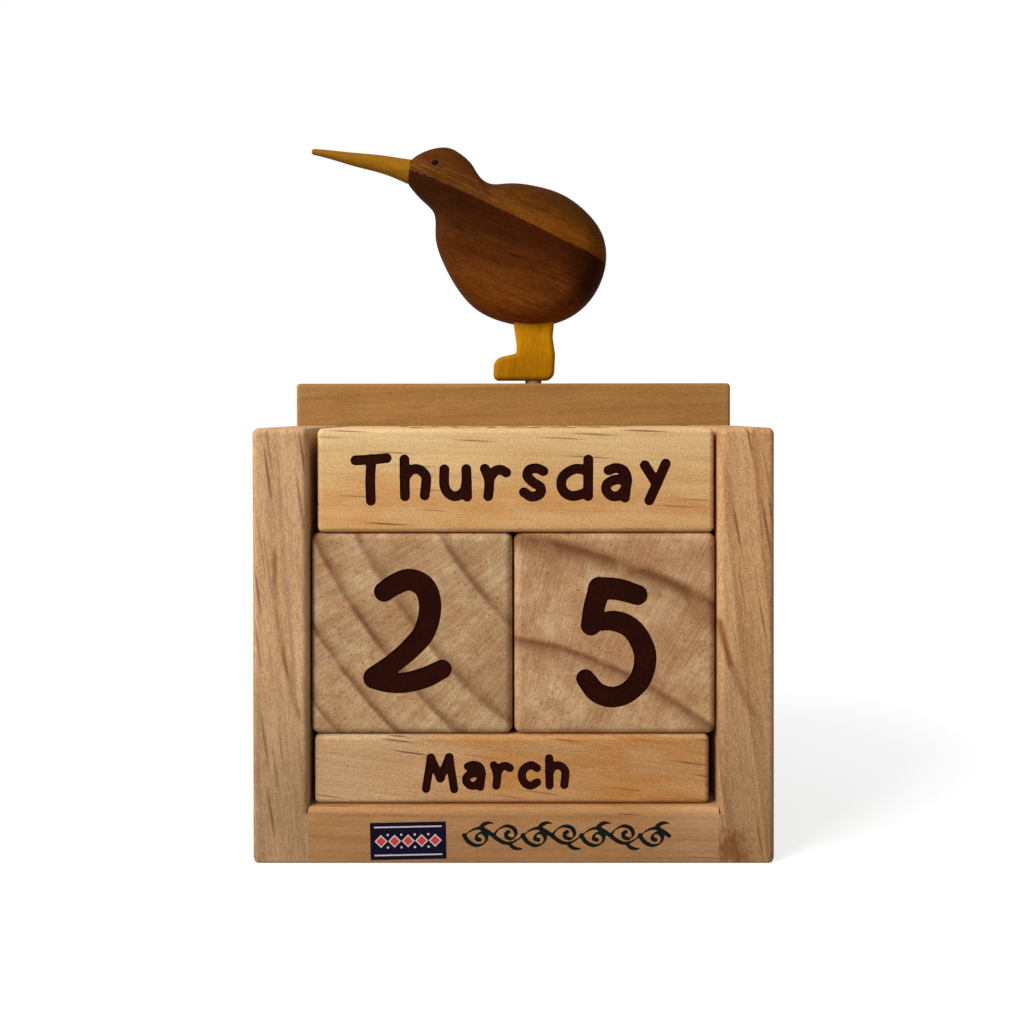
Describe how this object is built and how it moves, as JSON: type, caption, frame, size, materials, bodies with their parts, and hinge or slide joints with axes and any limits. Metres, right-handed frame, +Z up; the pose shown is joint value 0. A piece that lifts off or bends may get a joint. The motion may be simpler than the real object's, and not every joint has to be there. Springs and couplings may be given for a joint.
{
  "type": "perpetual desk calendar",
  "caption": "Wooden perpetual desk calendar: an open pine tray of loose day, date and month blocks, with a carved kiwi that turns on a peg in the back board.",
  "frame": {"origin": "middle of the case's flat underside, without the kiwi", "axes": "+X to the right as the date is read, +Y to the back, +Z up"},
  "size_m": [0.1042, 0.0577, 0.1548],
  "materials": {
    "case_pine": "sanded pine, thin matt lacquer",
    "back_board_wood": "sanded, thin matt lacquer",
    "cube_pine": "sanded pine end grain, laser-burnt numerals",
    "bar_pine": "sanded pine, laser-burnt lettering",
    "dowel_wood": "plain dowel",
    "transfer_film": "printed film, satin",
    "kiwi_body_wood": "oiled red-brown heartwood with a golden-brown edge, satin",
    "kiwi_yellow_wood": "oiled yellow wood, satin",
    "eye_black": "glossy black"
  },
  "bodies": {
    "case": {"left_side": "case_pine", "right_side": "case_pine", "base_board": "case_pine", "back_board": "back_board_wood", "base_dowels": "dowel_wood", "back_dowels": "dowel_wood", "front_transfer": "transfer_film"},
    "left_cube": {"left_number_cube": "cube_pine"},
    "right_cube": {"right_number_cube": "cube_pine"},
    "rear_day": {"rear_day_bar": "bar_pine"},
    "front_day": {"front_day_bar": "bar_pine"},
    "rear_month": {"rear_month_bar": "bar_pine"},
    "middle_month": {"middle_month_bar": "bar_pine"},
    "front_month": {"front_month_bar": "bar_pine"},
    "kiwi": {"kiwi_body": "kiwi_body_wood", "kiwi_beak": "kiwi_yellow_wood", "kiwi_beak_pin": "dowel_wood", "kiwi_legs": "kiwi_yellow_wood", "kiwi_eyes": "eye_black", "kiwi_peg": "dowel_wood"}
  },
  "joints": [
    {"name": "left_cube_draw", "type": "slide", "parent": "case", "child": "left_cube", "axis": [0, -1, 0], "range_m": [0, 0.044]},
    {"name": "right_cube_draw", "type": "slide", "parent": "case", "child": "right_cube", "axis": [0, -1, 0], "range_m": [0, 0.044]},
    {"name": "rear_day_draw", "type": "slide", "parent": "case", "child": "rear_day", "axis": [0, -1, 0], "range_m": [0, 0.045]},
    {"name": "front_day_draw", "type": "slide", "parent": "rear_day", "child": "front_day", "axis": [0, -1, 0], "range_m": [0, 0.024]},
    {"name": "rear_month_draw", "type": "slide", "parent": "case", "child": "rear_month", "axis": [0, -1, 0], "range_m": [0, 0.045]},
    {"name": "middle_month_draw", "type": "slide", "parent": "rear_month", "child": "middle_month", "axis": [0, -1, 0], "range_m": [0, 0.031]},
    {"name": "front_month_draw", "type": "slide", "parent": "middle_month", "child": "front_month", "axis": [0, -1, 0], "range_m": [0, 0.017]},
    {"name": "kiwi_turn", "type": "hinge", "parent": "case", "child": "kiwi", "pos_m": [0.0049, 0.022, 0.097], "axis": [0, 0, 1], "continuous": true}
  ]
}
